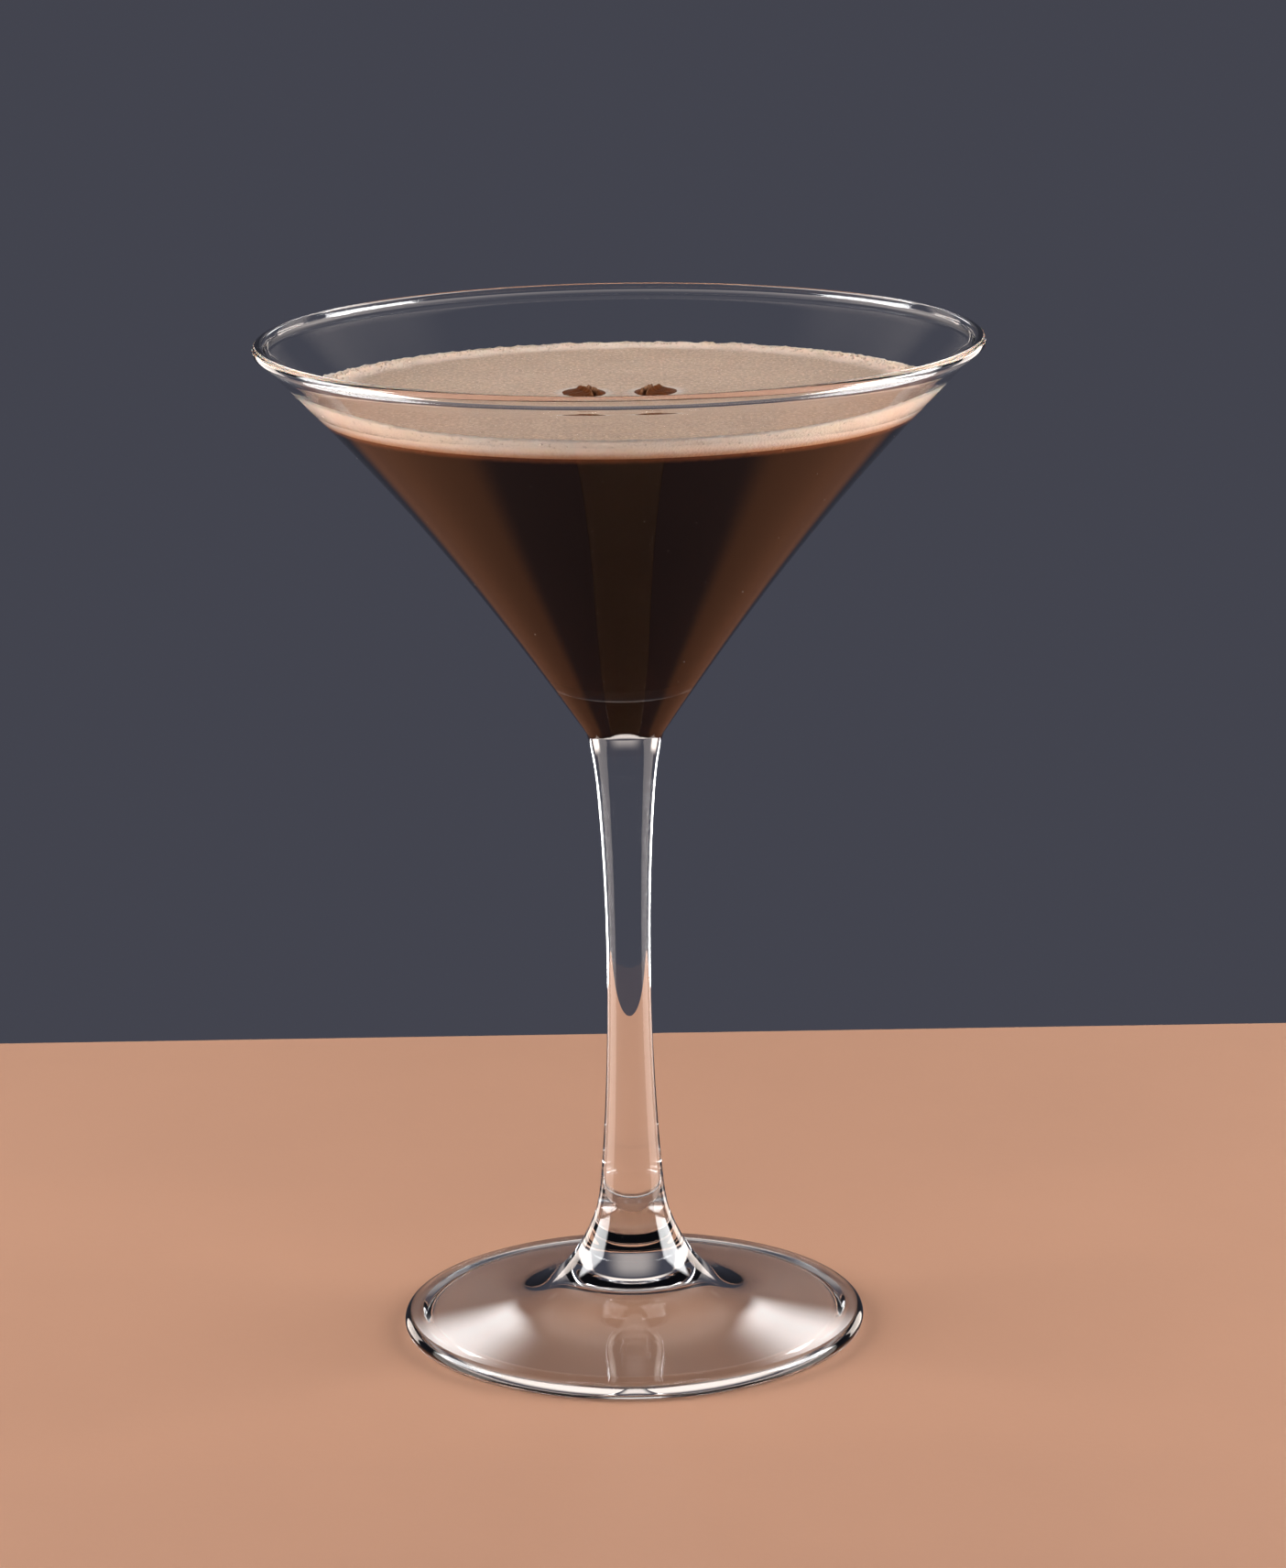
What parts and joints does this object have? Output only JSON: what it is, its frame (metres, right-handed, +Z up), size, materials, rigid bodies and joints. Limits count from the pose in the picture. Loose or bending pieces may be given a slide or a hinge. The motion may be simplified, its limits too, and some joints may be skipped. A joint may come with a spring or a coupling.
{
  "type": "martini cocktail",
  "caption": "Coffee martini in a stemmed cone-shaped glass: clear glass, dark coffee drink, pale foam layer and roasted coffee beans resting on the foam.",
  "frame": {"origin": "middle of the foot's resting plane, on the axis of the glass", "axes": "+Z up along the axis of the glass; the picture looks along +Y, with +X to its right, and the two beans lie beside each other along X"},
  "size_m": [0.116, 0.116, 0.1647],
  "materials": {
    "clear_glass": "clear, colourless, polished drinking glass",
    "dark_coffee": "near-black brown coffee drink, glossy where it wets the glass",
    "coffee_foam": "tan coffee foam of very fine bubbles, paler at its edge",
    "roasted_bean": "dark roasted coffee bean, satin, with a lighter cleft"
  },
  "bodies": {
    "root": {"glass": "clear_glass", "coffee": "dark_coffee", "foam": "coffee_foam", "bean_left": "roasted_bean", "bean_right": "roasted_bean"}
  },
  "joints": []
}
